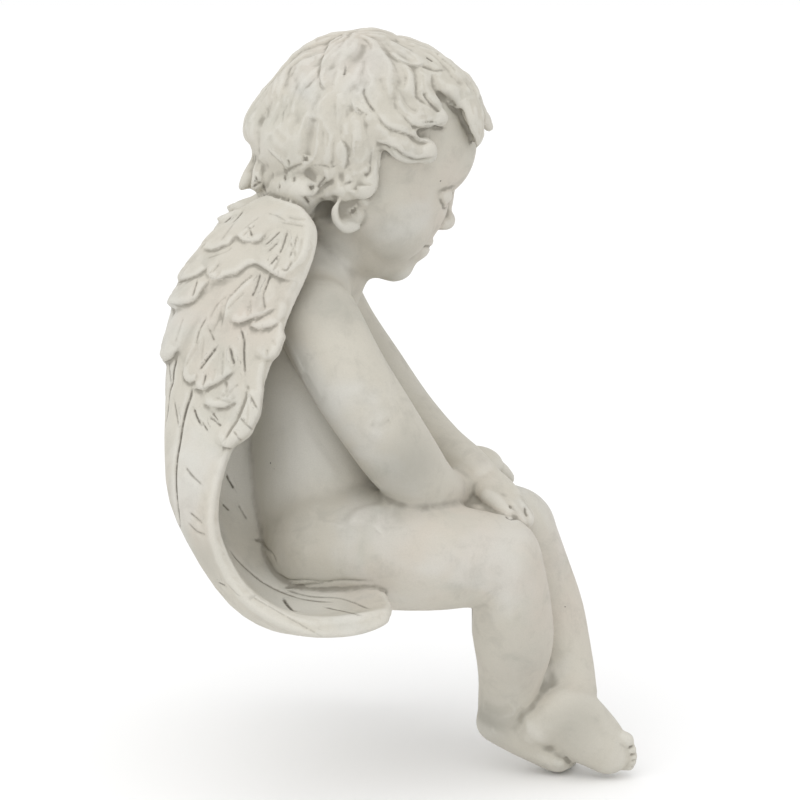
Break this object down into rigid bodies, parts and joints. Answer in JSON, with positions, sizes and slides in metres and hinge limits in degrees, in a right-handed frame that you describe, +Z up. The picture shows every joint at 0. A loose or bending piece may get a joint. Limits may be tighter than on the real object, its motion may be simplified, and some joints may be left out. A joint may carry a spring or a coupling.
{
  "type": "shelf sitter angel statue",
  "caption": "Winged child angel that sits on a shelf edge with crossed ankles hanging over, hands on its knees, head bowed; one cast piece with a flat seat.",
  "frame": {"origin": "on the flat underside of the seat, midway between the hips", "axes": "+X is where the angel faces, +Y its left, +Z up"},
  "size_m": [0.1917, 0.1724, 0.2994],
  "materials": {
    "cast_resin": "matt stone-coloured cast resin with a grey antique wash in its grooves"
  },
  "bodies": {
    "root": {"angel": "cast_resin"}
  },
  "joints": []
}
